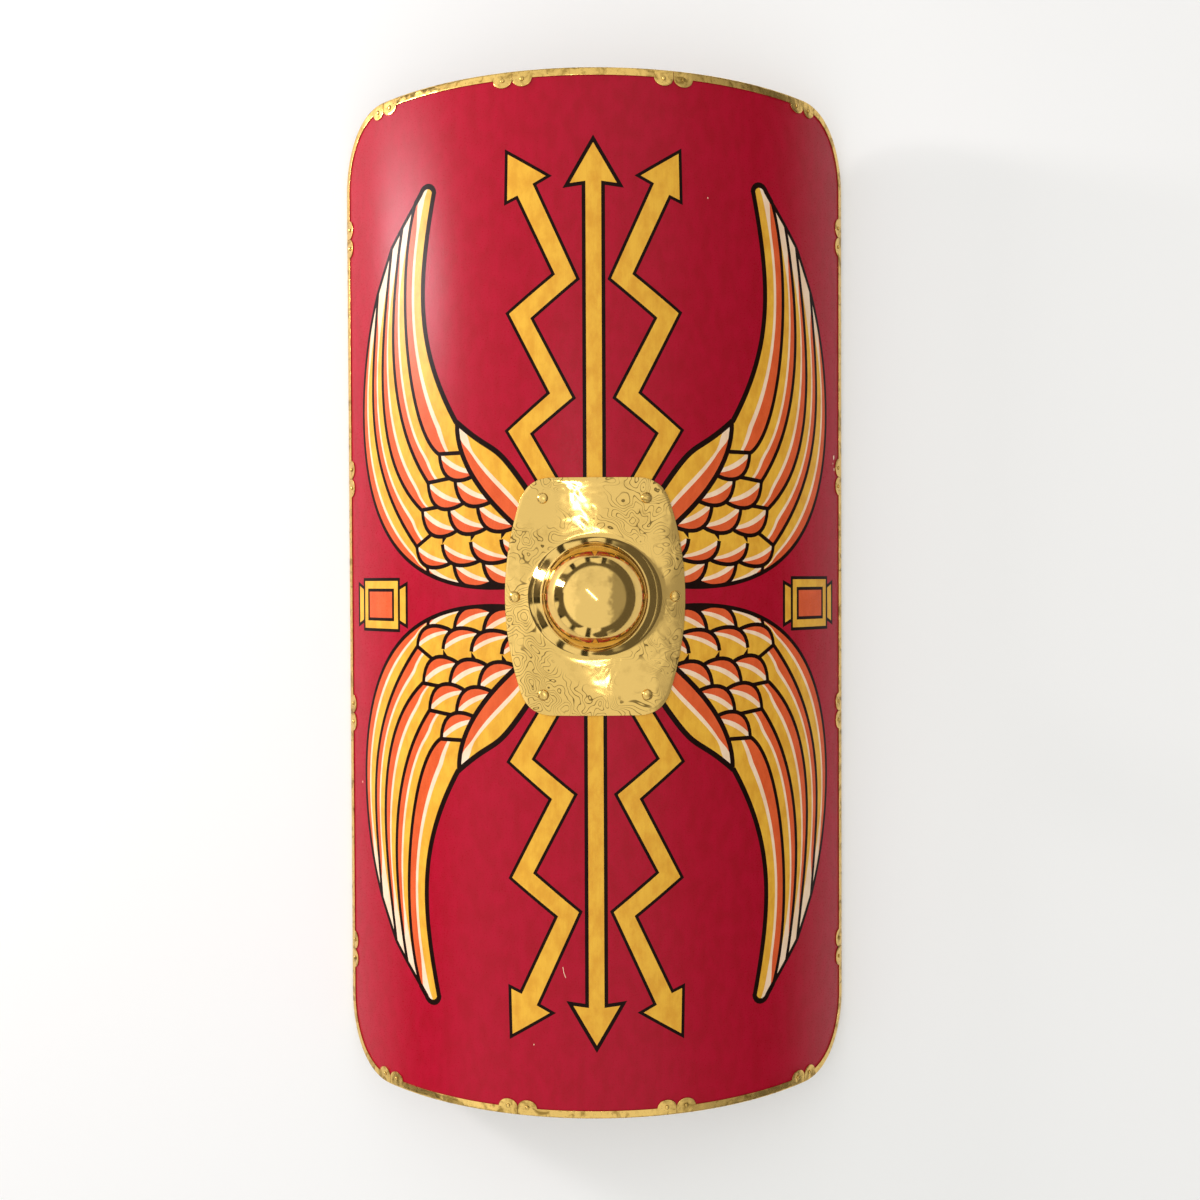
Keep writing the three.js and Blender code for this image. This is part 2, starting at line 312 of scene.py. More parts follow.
FIELD, YELLOW, ORANGE, CREAM, OUTLINE, BACK_WOOD = range(6)
HOLE = -1
LONG_FEATHERS = (
    ((172, 415), (194, 322), (198, 264), (146, 178)),
    ((197, 408), (229, 325), (208, 173), (168, 147)),
    ((216, 387), (233, 316), (251, 204), (182, 118)),
    ((233, 368), (242, 307), (283, 163), (191, 90)),
    ((257, 325), (269, 232), (290, 153), (198, 52)),
    ((257, 325), (332, 167), (266, -4), (85, 10)),
)
FEATHER_FEET = (
    ((142, 147),), ((165, 135), (160.5, 127), (155, 121.5)),
    ((180, 105), (175.5, 98), (170, 92.5)), ((188, 76), (183.5, 70), (178, 64.5)),
    ((196, 42), (190, 34), (178, 22)))
WING_TIP = (180.5, 414.5)
WING_TIP_RADIUS = 9
ARM_UPPER = ((145, 178), (97, 138), (107, 164), (63, 100))
ARM_LOWER = ((145, 178), (148, 122), (77, 70), (75, 66))
SCALE_EDGE = ((0, 0), (-3, -47), (-50, -21), (-44, -21))
SCALE_STEP = (-34, 2)
SCALE_ROWS = (
    ((184, 33), 4, 0.9), ((198, 52), 4, 0.78), ((190, 90), 3, 1.0), ((182, 118), 2, 1.0),
    ((167, 147), 1, 1.0))
BOLT = ((27, 98), (65, 163.5), (22, 198.5), (64, 278.5), (17.5, 316.5), (61, 412),
        (47.5, 419), (86.5, 443), (87.5, 397), (76.5, 401.5), (38.5, 321), (86, 284),
        (44, 203), (87.5, 166.5), (45, 97))
ARROW = ((0, 451), (23.5, 411), (7.8, 413), (7.8, 62), (0, 62))
PANEL_CENTRE = (257, -9)
PANEL = (30, 25.5)
PANEL_WINDOW = (20.5, 14)
PANEL_EAR = (12, 15, 20)


def grown(polygon, by):
    """A straight-sided outline moved outward by a distance, its corners kept sharp."""
    points = [Vector(p) for p in polygon]
    turn = 1 if signed_area(points) > 0 else -1
    moved = []
    for before, here, after in zip(points[-1:] + points[:-1], points, points[1:] + points[:1]):
        a = (here - before).normalized()
        b = (after - here).normalized()
        na = Vector((a.y, -a.x)) * turn
        nb = Vector((b.y, -b.x)) * turn
        corner = na + nb
        reach = min(by * 2 / max(corner.length_squared, 0.3), by * 3.2)
        moved.append(here + corner * reach)
    return moved


def signed_area(points):
    ring = list(points)
    return sum(a[0] * b[1] - b[0] * a[1] for a, b in zip(ring, ring[1:] + ring[:1])) / 2


def stroke(points, width):
    """The outline of a brush line of even width along an open run of points."""
    points = [Vector(p) for p in points]
    left, right = [], []
    for n, here in enumerate(points):
        run = points[min(n + 1, len(points) - 1)] - points[max(n - 1, 0)]
        side = Vector((-run.y, run.x)).normalized() * width / 2
        left.append(here + side)
        right.append(here - side)
    return left + right[::-1]


def dot(centre, radius, sides=14):
    return [Vector(centre) + radius * Vector((cos(2 * pi * n / sides), sin(2 * pi * n / sides)))
            for n in range(sides)]


def between(inner, outer, share):
    """Points a share of the way from one feather edge to the other; share varies from the tip."""
    last = len(inner) - 1
    return [a.lerp(b, share(n / last)) for n, (a, b) in enumerate(zip(inner, outer))]


def evenly(points, count):
    """The same run of points, parted into equal steps."""
    points = [Vector(p) for p in points]
    runs = [0.0]
    for here, after in zip(points, points[1:]):
        runs.append(runs[-1] + (after - here).length)
    result, n = [], 0
    for step in range(count + 1):
        goal = runs[-1] * step / count
        while n < len(points) - 2 and runs[n + 1] < goal:
            n += 1
        share = (goal - runs[n]) / max(runs[n + 1] - runs[n], 1e-9)
        result.append(points[n].lerp(points[n + 1], min(share, 1.0)))
    return result


def feather_fill(inner, outer, tip):
    """One long feather: yellow, a cream shaft and orange."""
    start = 0.3 if tip else 0.0
    shaft = between(inner, outer, lambda t: 0.48 * ease((t + start) / 0.3))
    shade = between(inner, outer, lambda t: 1 - 0.39 * ease((t + start / 3) / 0.24))
    yield YELLOW, inner[::-1] + tip + outer
    yield CREAM, shaft[::-1] + tip[len(tip) // 2:] + outer
    yield ORANGE, shade[::-1] + outer


def scale_curve(corner, depth, floor, points, steps):
    """A curve of a scale, set at its corner, made shallower and kept off the rim of the wing."""
    moved = [Vector(corner) + Vector((p.x, p.y * depth)) for p in bezier(points, steps)]
    return [Vector((p.x, max(p.y, floor(p.x)))) for p in moved]


def painted_scale(corner, depth, line, floor):
    """One short scale of the wing: yellow over orange, parted by a cream band."""
    corner = Vector(corner)
    edge = scale_curve(corner, depth, floor, SCALE_EDGE, 16)
    end = corner + Vector(SCALE_STEP)
    band_low = scale_curve(corner, depth, floor, ((0, -3), (-11, -15), (-26, -22), (-43, -22)), 8)
    band_high = scale_curve(corner, depth, floor, ((-3, 0), (-15, -10), (-28, -17), (-43, -19)), 8)
    yield ORANGE, edge + [end]
    yield YELLOW, band_high + [end, end + Vector((0, 11)), corner + Vector((-9, 11)), corner]
    yield CREAM, band_low + band_high[::-1]
    yield OUTLINE, stroke(edge, line)


def wing_paint(line):
    steps = 36
    edges = [bezier(curve, steps) for curve in LONG_FEATHERS[:-1]]
    edges.append(bezier(LONG_FEATHERS[-1], steps, until=0.83))
    brim = bezier(LONG_FEATHERS[-1], 2 * steps)
    upper = bezier(ARM_UPPER, 20)
    lower = bezier(ARM_LOWER, 20)
    tip = [Vector(WING_TIP) + WING_TIP_RADIUS * Vector((cos(a), sin(a)))
           for a in (radians(200 - 20 * n) for n in range(1, 10))]

    def floor(across):
        below = [p for p in brim if p.y < 60]
        a, b = min(zip(below, below[1:]), key=lambda ab: abs(ab[0].x + ab[1].x - 2 * across))
        return a.y + (b.y - a.y) * (across - a.x) / (b.x - a.x)

    ends = [edge[0] for edge in edges[1:]]
    yield OUTLINE, edges[0][::-1] + tip + ends + brim + [upper[-1]] + upper[::-1]
    for corner, count, depth in SCALE_ROWS:
        for n in range(count):
            yield from painted_scale(Vector(corner) + n * Vector(SCALE_STEP), depth, line, floor)
    feathers = list(zip(edges, edges[1:], FEATHER_FEET))
    for n, (inner, outer, foot) in enumerate(feathers):
        run = evenly(inner + [Vector(p) for p in foot], steps)
        yield from feather_fill(run, evenly(outer, steps), [] if n else tip)
    for n, (inner, outer, foot) in enumerate(feathers):
        yield OUTLINE, stroke(inner, line if n else 1.35 * line)
        yield OUTLINE, stroke([outer[-1], Vector(foot[-1])], line)
        yield OUTLINE, stroke([inner[0], outer[0]], line) if n else stroke(
            [inner[0], *tip, outer[0]], 1.35 * line)
    for corner, _, depth in SCALE_ROWS:
        yield OUTLINE, stroke(scale_curve(corner, depth, floor, SCALE_EDGE, 16)[:10], line)
    yield OUTLINE, dot(edges[0][0], line * 0.68)
    yield OUTLINE, stroke(brim, line)
    shaft_low = between(upper, lower, lambda t: 1 - 0.39 * ease(t / 0.25))
    shaft_high = between(upper, lower, lambda t: 0.5 * ease(t / 0.25))
    yield YELLOW, upper + lower[::-1]
    yield ORANGE, shaft_low + lower[::-1]
    yield CREAM, shaft_high + shaft_low[::-1]
    yield OUTLINE, stroke(lower, 1.25 * line)
    yield OUTLINE, stroke(upper, 1.35 * line)
    yield OUTLINE, dot(upper[0], line * 0.7)


def quarter_paint(line):
    yield from wing_paint(line)
    yield OUTLINE, grown(BOLT, line * 0.75)
    yield YELLOW, list(BOLT)


def panel_paint(line):
    """The small eared panel beside the boss."""
    middle = Vector(PANEL_CENTRE)

    def box(half_width, half_height):
        return [middle + Vector(p) for p in ((-half_width, -half_height), (half_width, -half_height),
                                             (half_width, half_height), (-half_width, half_height))]
    deep, short, tall = PANEL_EAR
    for side in (-1, 1):
        ear = [middle + Vector((side * (PANEL[0] + x), y))
               for x, y in ((0, -short), (0, short), (deep, tall), (deep, -tall))]
        yield OUTLINE, grown(ear, line * 0.8)
        yield YELLOW, ear
    yield OUTLINE, grown(box(*PANEL), line * 0.8)
    yield YELLOW, box(*PANEL)
    yield OUTLINE, grown(box(*PANEL_WINDOW), line * 0.8)
    yield ORANGE, box(*PANEL_WINDOW)


def worn_spots():
    """Chips down to the pale ground by the right rim, and a fine scratch below the boss."""
    for centre, radius in (((306, 151), 2.2), ((307, 138), 1.6), ((304, 144), 0.9),
                           ((-296, -205), 1.2), ((118, 402), 0.8), ((-64, -452), 0.8)):
        yield CREAM, [Vector(centre) + radius * Vector((cos(a) * 0.7, sin(a) * (1 + 0.3 * (n % 2))))
                      for n, a in enumerate(2 * pi * k / 7 for k in range(7))]
    yield CREAM, stroke([(-34, -372), (-33, -378), (-31, -383)], 0.6)


def whole_pattern(line):
    """Every painted shape with its colour, in the order that the painter laid them on."""
    for kind, polygon in quarter_paint(line):
        for across, up in ((1, 1), (-1, 1), (-1, -1), (1, -1)):
            yield kind, [(p[0] * across, p[1] * up) for p in polygon]
    for kind, polygon in panel_paint(line):
        for across in (1, -1):
            yield kind, [(p[0] * across, p[1]) for p in polygon]
    half = [Vector(p) for p in ARROW]
    full = half + [Vector((-p.x, p.y)) for p in half[::-1] if p.x]
    for up in (1, -1):
        for kind, polygon in ((OUTLINE, grown(full, line * 0.9)), (YELLOW, full)):
            yield kind, [(p[0], p[1] * up) for p in polygon]
    yield from worn_spots()


def covered(polygon, points):
    """Which points an outline covers, also where a brush line crosses itself."""
    across, up = points[:, 0], points[:, 1]
    turns = np.zeros(len(points), dtype=int)
    for (ax, ay), (bx, by) in zip(polygon, polygon[1:] + polygon[:1]):
        side = (bx - ax) * (up - ay) - (across - ax) * (by - ay)
        turns += (ay <= up) & (by > up) & (side > 0)
        turns -= (ay > up) & (by <= up) & (side < 0)
    return turns != 0


def painted_sheet(board, line):
    """The flat face of the board, parted along every edge of the paint and every fold line."""
    half_width = (board.wrap / 2 - BOARD_INSET) / MM
    half_height = (board.height / 2 - BOARD_INSET) / MM
    corner = (board.corner - BOARD_INSET) / MM
    outline = [
        (sx * (half_width - corner) + corner * cos(a), sy * (half_height - corner) + corner * sin(a))
        for sx, sy, start in ((1, 1, 0), (-1, 1, 90), (-1, -1, 180), (1, -1, 270))
        for a in (radians(start + 5 * n) for n in range(19))]
    hole = dot((0, 0), board.hand_hole / MM, 72)
    shapes = [(FIELD, outline), *whole_pattern(line / MM), (HOLE, hole)]
    points, edges = [], []
    for _, polygon in shapes:
        ring = range(len(points), len(points) + len(polygon))
        points += [Vector((p[0], p[1])) for p in polygon]
        edges += list(zip(ring, [*ring[1:], ring[0]]))
    folds = int(half_width // 8)
    for n in range(-folds, folds + 1):
        across = n * half_width / (folds + 0.5)
        past = max(0.0, abs(across) - (half_width - corner))
        reach = half_height - corner + sqrt(max(corner * corner - past * past, 0.0))
        edges.append((len(points), len(points) + 1))
        points += [Vector((across, -reach)), Vector((across, reach))]
    verts, _, triangles, _, _, _ = delaunay_2d_cdt(points, edges, [], 0, 0.02)
    places = np.array([(v.x, v.y) for v in verts])
    middles = places[np.array(triangles)].mean(axis=1)
    colours = np.full(len(triangles), HOLE)
    for kind, polygon in shapes:
        ring = [(p[0], p[1]) for p in polygon]
        low, high = np.min(ring, axis=0), np.max(ring, axis=0)
        near = np.flatnonzero(((middles >= low) & (middles <= high)).all(axis=1))
        colours[near[covered(ring, middles[near])]] = kind
    kept = [(tri, kind) for tri, kind in zip(triangles, colours.tolist()) if kind != HOLE]
    return [(v.x * MM, v.y * MM, 0.0) for v in verts], kept


class SHIELD_OT_board(bpy.types.Operator):
    """Cut the board, paint its face and bend it"""
    bl_idname = "shield.board"
    bl_label = "Painted board"

    def execute(self, context):
        board = context.scene.shield_board
        paint = context.scene.shield_paint
        points, triangles = painted_sheet(board, paint.line)
        mesh = bpy.data.meshes.new("painted_board")
        mesh.from_pydata(points, [], [tri for tri, _ in triangles])
        obj = bpy.data.objects.new("painted_board", mesh)
        context.scene.collection.objects.link(obj)
        finish(obj, "board", ["board"], *[board_paint(name) for name in PAINT_NAMES], back_ply())
        mesh.polygons.foreach_set("material_index", [kind for _, kind in triangles])
        tidy = bmesh.new()
        tidy.from_mesh(mesh)
        bmesh.ops.delete(tidy, geom=[v for v in tidy.verts if not v.link_faces], context="VERTS")
        tidy.to_mesh(mesh)
        tidy.free()
        flat = mesh.uv_layers.new(name="flat")
        for loop in mesh.loops:
            flat.uv[loop.index].vector = mesh.vertices[loop.vertex_index].co.xy
        modify(obj, "SOLIDIFY", thickness=board.thickness, offset=-1,
               material_offset=BACK_WOOD, material_offset_rim=BACK_WOOD)
        place_points(obj, wrap)
        exact_shading(obj, board)
        return {"FINISHED"}


def exact_shading(obj, board):
    """Shade the face and the back as true curves and leave the cut edges square."""
    mesh = obj.data
    mesh.shade_smooth()
    normals = []
    for face in mesh.polygons:
        for loop in face.loop_indices:
            across, _, up = mesh.vertices[mesh.loops[loop].vertex_index].co
            out = Vector((across, 0, up - BOARD_TOP + board.radius)).normalized()
            lean = face.normal.dot(out)
            normals.append(face.normal if abs(lean) < 0.7 else out * copysign(1, lean))
    mesh.normals_split_custom_set(normals)


# ---------------------------------------------------------------- edging

def strip_columns(start, end, brass, step):
    """Places along a strip: close together round each lobe, further apart between them."""
    half = brass.lobe_width / 2
    lobe = [half - half * cos(pi * n / 16) for n in range(17)]
    middle = end - start - 4 * half
    count = max(1, round(middle / step))
    plain = [2 * half + middle * n / count for n in range(1, count)]
    return [start + p for p in lobe + plain + [middle + 2 * half + p for p in lobe]]


def fold_section(front_edge, brass, board):
    """Outer surface of the folded strip as (inset, height over the face), from back to front."""
    fold = 2 * MM
    top = GAP + brass.sheet
    low = -board.thickness - GAP - brass.sheet
    section = [(brass.leg - (brass.leg - fold) * n / 2, low) for n in range(3)]
    section += [(fold - fold * sin(a), low + fold - fold * cos(a))
                for a in (radians(18 * n) for n in range(1, 6))]
    section += [(fold - fold * cos(a), top - fold + fold * sin(a))
                for a in (radians(18 * n) for n in range(6))]
    section += [(fold + (front_edge - fold) * n / 5, top) for n in range(1, 6)]
    return section


def brass_strip(name, start, end, step, brass, board):
    columns = strip_columns(start, end, brass, step)
    rows = len(fold_section(brass.leg, brass, board))

    def place(u, v):
        along = columns[round(u * (len(columns) - 1))]
        near = min(along - start, end - along)
        across = min(abs(near - brass.lobe_width / 2) / (brass.lobe_width / 2), 1.0)
        front = brass.leg + (brass.lobe_reach - brass.leg) * sqrt(1 - across * across)
        inset, lift = fold_section(front, brass, board)[round(v * (rows - 1))]
        flat = outline_point(along, inset, board)
        return wrap((flat.x, flat.y, lift))

    strip = sheet_blank(name, len(columns) - 1, rows - 1, place)
    modify(strip, "SOLIDIFY", thickness=brass.sheet, offset=-1, use_even_offset=True)
    modify(strip, "BEVEL", width=0.2 * MM, segments=2, limit_method="ANGLE", angle_limit=radians(60))
    smooth(strip, 35)
    return strip


class SHIELD_OT_edging(bpy.types.Operator):
    """Fold the sixteen brass strips over the rim"""
    bl_idname = "shield.edging"
    bl_label = "Brass edging"

    def execute(self, context):
        scene = context.scene
        for n, (start, end) in enumerate(strip_ends(scene.shield_board)):
            step = 3 * MM if n % 4 == 3 else 20 * MM if n % 8 > 3 else 8 * MM
            strip = brass_strip(f"brass_{STRIPS[n]}", start, end, step, scene.shield_brass,
                                scene.shield_board)
            finish(strip, "edging", [STRIPS[n]], rim_brass())
        return {"FINISHED"}


class SHIELD_OT_tacks(bpy.types.Operator):
    """Turn one small tack and drive a copy through each lobe"""
    bl_idname = "shield.tacks"
    bl_label = "Edging tacks"

    def execute(self, context):
        board = context.scene.shield_board
        brass = context.scene.shield_brass
        under = brass.sheet + 2 * GAP
        head = [(2.2 * MM * cos(a), under + 0.15 * MM + 0.95 * MM * sin(a))
                for a in (radians(15 * n) for n in range(6))]
        profile = [(0, -5.5 * MM), (1 * MM, -3 * MM), (1 * MM, under), (2.2 * MM, under)]
        model = turned("tack_model", profile + head + [(0, under + 1.1 * MM)], 16)
        smooth(model, 40)
        ends = [place for start, end in strip_ends(board)
                for place in (start + brass.lobe_width / 2, end - brass.lobe_width / 2)]
        for name, along in zip(TACKS, ends):
            tack = copy_of(model, f"brass_{name}")
            flat = outline_point(along, TACK_INSET, board)
            stand_on_face(tack, flat.x, flat.y)
            finish(tack, "edging", [name], rim_brass())
        bpy.data.objects.remove(model)
        return {"FINISHED"}


# ---------------------------------------------------------------- boss

def plate_reach(boss):
    """How far the plate reaches from the middle, by direction."""
    end, x, y = 43 * MM, 75 * MM, 97 * MM
    high = boss.half_height
    bulge = 2 * boss.half_width - x
    quarter = [Vector((0, high)).lerp(Vector((end, high)), n / 12) for n in range(12)]
    for a, b, c in (((end, high), (x - 8 * MM, high), (x, y)), ((x, y), (bulge, 0), (x, -y))):
        for n in range(33 if c[1] > 0 else 17):
            t = n / 32
            quarter.append((1 - t) ** 2 * Vector(a) + 2 * (1 - t) * t * Vector(b) + t * t * Vector(c))
    turns = [(atan2(p.x, p.y), p.length) for p in quarter]

    def reach(angle):
        along, up = abs(cos(angle)), abs(sin(angle))
        lean = min(atan2(along, up), pi / 2 - 1e-6)
        for (a, ra), (b, rb) in zip(turns, turns[1:]):
            if a <= lean <= b and b > a:
                return ra + (rb - ra) * (lean - a) / (b - a)
        return turns[-1][1]
    return reach


def boss_profile(boss):
    """Dome and flared skirt as (radius, height over the plate), from the crown outward."""
    neck = 13 * MM
    rise = boss.dome_height - neck
    dome = [(boss.dome_radius * sin(a), neck + rise * cos(a))
            for a in (radians(90 * n / 20) for n in range(21))]
    low = boss.dome_radius + 4.5 * MM
    cove = bezier(((boss.dome_radius, neck), (boss.dome_radius, 7 * MM), (low, 4.5 * MM),
                   (boss.skirt_radius, 0)), 9)
    return dome + [tuple(p) for p in cove[1:]]


def smooth_max(a, b, width):
    overlap = max(width - abs(a - b), 0) / width
    return max(a, b) + overlap * overlap * width / 4


class SHIELD_OT_boss(bpy.types.Operator):
    """Raise the boss from one sheet of brass"""
    bl_idname = "shield.boss"
    bl_label = "Brass boss"

    def execute(self, context):
        boss = context.scene.shield_boss
        board = context.scene.shield_board
        profile = boss_profile(boss)
        reach = plate_reach(boss)
        top = GAP + boss.sheet
        spread = [0.02, 0.045, 0.075, 0.11, 0.16, 0.24, 0.36, 0.5, 0.65, 0.8, 0.93, 1.0]

        def place(u, v):
            angle = 2 * pi * u
            ring = round(v * (len(profile) + len(spread) - 1))
            if ring < len(profile):
                radius, rise = profile[ring]
            else:
                share = spread[ring - len(profile)]
                radius = boss.skirt_radius + (reach(angle) - boss.skirt_radius) * share
                rise = boss.skirt_radius - radius
            x, y = radius * cos(angle), radius * sin(angle)
            bend = board.radius + top
            plate = sqrt(bend * bend - x * x) - bend
            dent = 0.3 * MM * noise.noise(Vector((x, y, 0)) / (34 * MM))
            dent *= ease((radius - boss.skirt_radius) / (20 * MM))
            height = smooth_max(plate + dent, rise, 1.8 * MM) if radius > 53 * MM else rise
            return Vector((x, y, BOARD_TOP + top + height))

        obj = sheet_blank("brass_boss", 192, len(profile) + len(spread) - 1, place)
        tidy_shell(obj)
        modify(obj, "SOLIDIFY", thickness=boss.sheet, offset=-1, use_even_offset=True)
        modify(obj, "BEVEL", width=0.3 * MM, segments=2, limit_method="ANGLE",
               angle_limit=radians(60))
        smooth(obj, 40)
        finish(obj, "boss", ["boss"], boss_brass())
        return {"FINISHED"}


class SHIELD_OT_rivets(bpy.types.Operator):
    """Turn the domed rivets and set them through the boss"""
    bl_idname = "shield.rivets"
    bl_label = "Boss rivets"

    def execute(self, context):
        board = context.scene.shield_board
        back = -board.thickness - GAP
        side = board.wrap / 8
        across, up = RIVET_CORNER
        places = [(x, y) for y in (-up, up) for x in (-across, across)]
        places += [(-side, 0), (side, 0)]
        under = context.scene.shield_boss.sheet + 2 * GAP
        for name, (s, y) in zip(RIVETS, places):
            behind = back if y else back - GRIP_THICKNESS - GAP
            head = [(5.6 * MM * cos(a), under + 0.3 * MM + 2.7 * MM * sin(a))
                    for a in (radians(10 * n) for n in range(9))]
            profile = [(0, behind - 1.6 * MM), (3.9 * MM, behind - 1.6 * MM),
                       (4.4 * MM, behind - 1.1 * MM), (4.4 * MM, behind), (2.4 * MM, behind),
                       (2.4 * MM, under), (5.5 * MM, under)]
            rivet = turned(f"brass_{name}", profile + head + [(0, under + 3 * MM)], 32)
            smooth(rivet, 40)
            stand_on_face(rivet, s, y)
            finish(rivet, "boss", [name], rim_brass())
        return {"FINISHED"}


# ---------------------------------------------------------------- grip

class SHIELD_OT_grip(bpy.types.Operator):
    """Shape the wooden hand grip behind the boss"""
    bl_idname = "shield.grip"
    bl_label = "Hand grip"

    def execute(self, context):
        board = context.scene.shield_board
        bpy.ops.object.select_all(action="DESELECT")
        bpy.ops.mesh.primitive_cube_add(size=1)
        obj = name_it("wooden_grip")
        bpy.ops.object.mode_set(mode="EDIT")
        bpy.ops.mesh.select_all(action="SELECT")
        bpy.ops.mesh.subdivide(number_cuts=31)
        bpy.ops.object.mode_set(mode="OBJECT")
        back = -board.thickness - GAP
        half, flat, width = 105 * MM, 61 * MM, 30 * MM

        def place(co):
            s = 2 * half * co.x
            waist = 1 - 0.12 * ease((75 * MM - abs(s)) / (45 * MM))
            y = width * waist * co.y
            t = back - GRIP_THICKNESS * (0.5 - co.z)
            if abs(s) > flat:
                return wrap((s, y, t))
            end = wrap((flat, y, t))
            return Vector((end.x * s / flat, y, end.z))

        place_points(obj, place)
        modify(obj, "BEVEL", width=4 * MM, segments=4, limit_method="ANGLE",
               angle_limit=radians(50))
        smooth(obj, 40)
        finish(obj, "grip", ["grip"], grip_wood())
        return {"FINISHED"}


# ---------------------------------------------------------------- materials

PAINT_NAMES = ("field", "yellow", "orange", "cream", "outline")
THIN_COAT = {"field": 0.86, "yellow": 0.86, "orange": 0.88, "cream": 0.92, "outline": 0.6}
PAINT_SHEEN = 0.19
OUTLINE_SHEEN = 0.08
EASED = {"interpolation_type": "SMOOTHSTEP"}
COLOURS = {"data_type": "RGBA"}
FIRST, SECOND, MIXED = 6, 7, 2


def add_node(tree, kind, inputs, output=0, **settings):
    """Add a node, set its own settings, then its inputs, by place or name: each takes a value, or
    the socket that it is linked from. It hands on one output."""
    node = tree.nodes.new(f"ShaderNode{kind}")
    for key, value in settings.items():
        setattr(node, key, value)
    for key, value in inputs.items() if isinstance(inputs, dict) else enumerate(inputs):
        if isinstance(value, bpy.types.NodeSocket):
            tree.links.new(value, node.inputs[key])
        else:
            node.inputs[key].default_value = value
    return node.outputs[output]


def new_material(name, **sockets):
    """A material with its shader; sockets are set by name, such as Metallic."""
    material = bpy.data.materials.new(name)
    material.use_nodes = True
    shader = material.node_tree.nodes["Principled BSDF"]
    for key, value in sockets.items():
        shader.inputs[key.replace("_", " ")].default_value = value
    return material, material.node_tree, shader


def coat(tree, shader, colour_of, roughness, relief):
    """Give the shader what a finish is made of."""
    for name, socket in (("Base Color", colour_of), ("Roughness", roughness), ("Normal", relief)):
        tree.links.new(socket, shader.inputs[name])


def darker(tone, share=1.0):
    """A linear colour at a share of its brightness, with the alpha that a colour input takes."""
    return (*(v * share for v in tone), 1.0)


def mottle(tree, place, across, along, detail, twist=0.0):
    """Soft patches or streaks of a real size, in metres across and along the piece."""
    sized = add_node(tree, "Mapping", {
        "Vector": place, "Scale": (1 / across, 1 / along, 1 / across)})
    return add_node(tree, "TexNoise", {
        "Vector": sized, "Scale": 1.0, "Detail": detail, "Roughness": 0.6, "Distortion": twist})


def once(build):
    """Keep one copy of each material, whichever piece asks for it first."""
    made = {}

    def get(*key):
        if key not in made:
            made[key] = build(*key)
        return made[key]
    return get


@once
def board_paint(name):
    """Satin oil paint laid on the primed board with a flat brush.
    The brush leaves fine ridges up the board, and thin coats let the ground darken the colour.
    The ridges are drawn wider than the marks of bristles, so that they show."""
    base = getattr(bpy.context.scene.shield_paint, name)
    deep = (*(v * THIN_COAT[name] ** (1 + n) for n, v in enumerate(base)), 1.0)
    material, tree, shader = new_material(
        f"{name}_oil_paint", Specular_IOR_Level=OUTLINE_SHEEN if name == "outline" else PAINT_SHEEN)
    flat = add_node(tree, "UVMap", {}, uv_map="flat")
    ridges = mottle(tree, flat, 1.1 * MM, 45 * MM, 4)
    patches = mottle(tree, flat, 12 * MM, 24 * MM, 3)
    peel = mottle(tree, flat, 1.6 * MM, 1.6 * MM, 2)
    thin = add_node(tree, "MapRange", (patches, 0.32, 0.7, 0.0, 1.0), **EASED)
    shade = add_node(tree, "Mix", {0: thin, FIRST: darker(base), SECOND: deep}, MIXED, **COLOURS)
    streaks = add_node(tree, "MapRange", (ridges, 0.45, 0.75, 0.0, 0.4), **EASED)
    streaked = add_node(tree, "Mix", {0: streaks, FIRST: shade, SECOND: deep}, MIXED, **COLOURS)
    satin = add_node(tree, "MapRange", (peel, 0.3, 0.7, 0.26, 0.4), **EASED)
    ridged = add_node(tree, "Bump", {"Strength": 1.0, "Distance": 0.05 * MM, "Height": ridges})
    peeled = add_node(tree, "Bump", {
        "Strength": 1.0, "Distance": 0.05 * MM, "Height": peel, "Normal": ridged})
    coat(tree, shader, streaked, satin, peeled)
    return material


@once
def back_ply():
    """Birch plywood, sanded and oiled: straight pale grain up the board with darker pores."""
    base = bpy.context.scene.shield_wood.ply
    material, tree, shader = new_material("oiled_birch_ply")
    flat = add_node(tree, "UVMap", {}, uv_map="flat")
    bands = mottle(tree, flat, 9 * MM, 260 * MM, 4, 0.6)
    pores = mottle(tree, flat, 0.8 * MM, 16 * MM, 3)
    late = add_node(tree, "MapRange", (bands, 0.35, 0.65, 0.0, 1.0), **EASED)
    warm = add_node(tree, "Mix", {
        0: late, FIRST: darker(base), SECOND: darker(base, 0.62)}, MIXED, **COLOURS)
    open_pores = add_node(tree, "MapRange", (pores, 0.55, 0.75, 0.0, 0.5), **EASED)
    pored = add_node(tree, "Mix", {
        0: open_pores, FIRST: warm, SECOND: darker(base, 0.35)}, MIXED, **COLOURS)
    matt = add_node(tree, "MapRange", (pores, 0.3, 0.8, 0.5, 0.72), **EASED)
    sunk = add_node(tree, "Bump", {"Strength": 1.0, "Distance": 0.08 * MM, "Height": pores})
    banded = add_node(tree, "Bump", {
        "Strength": 1.0, "Distance": 0.1 * MM, "Height": bands, "Normal": sunk})
    coat(tree, shader, pored, matt, banded)
    return material


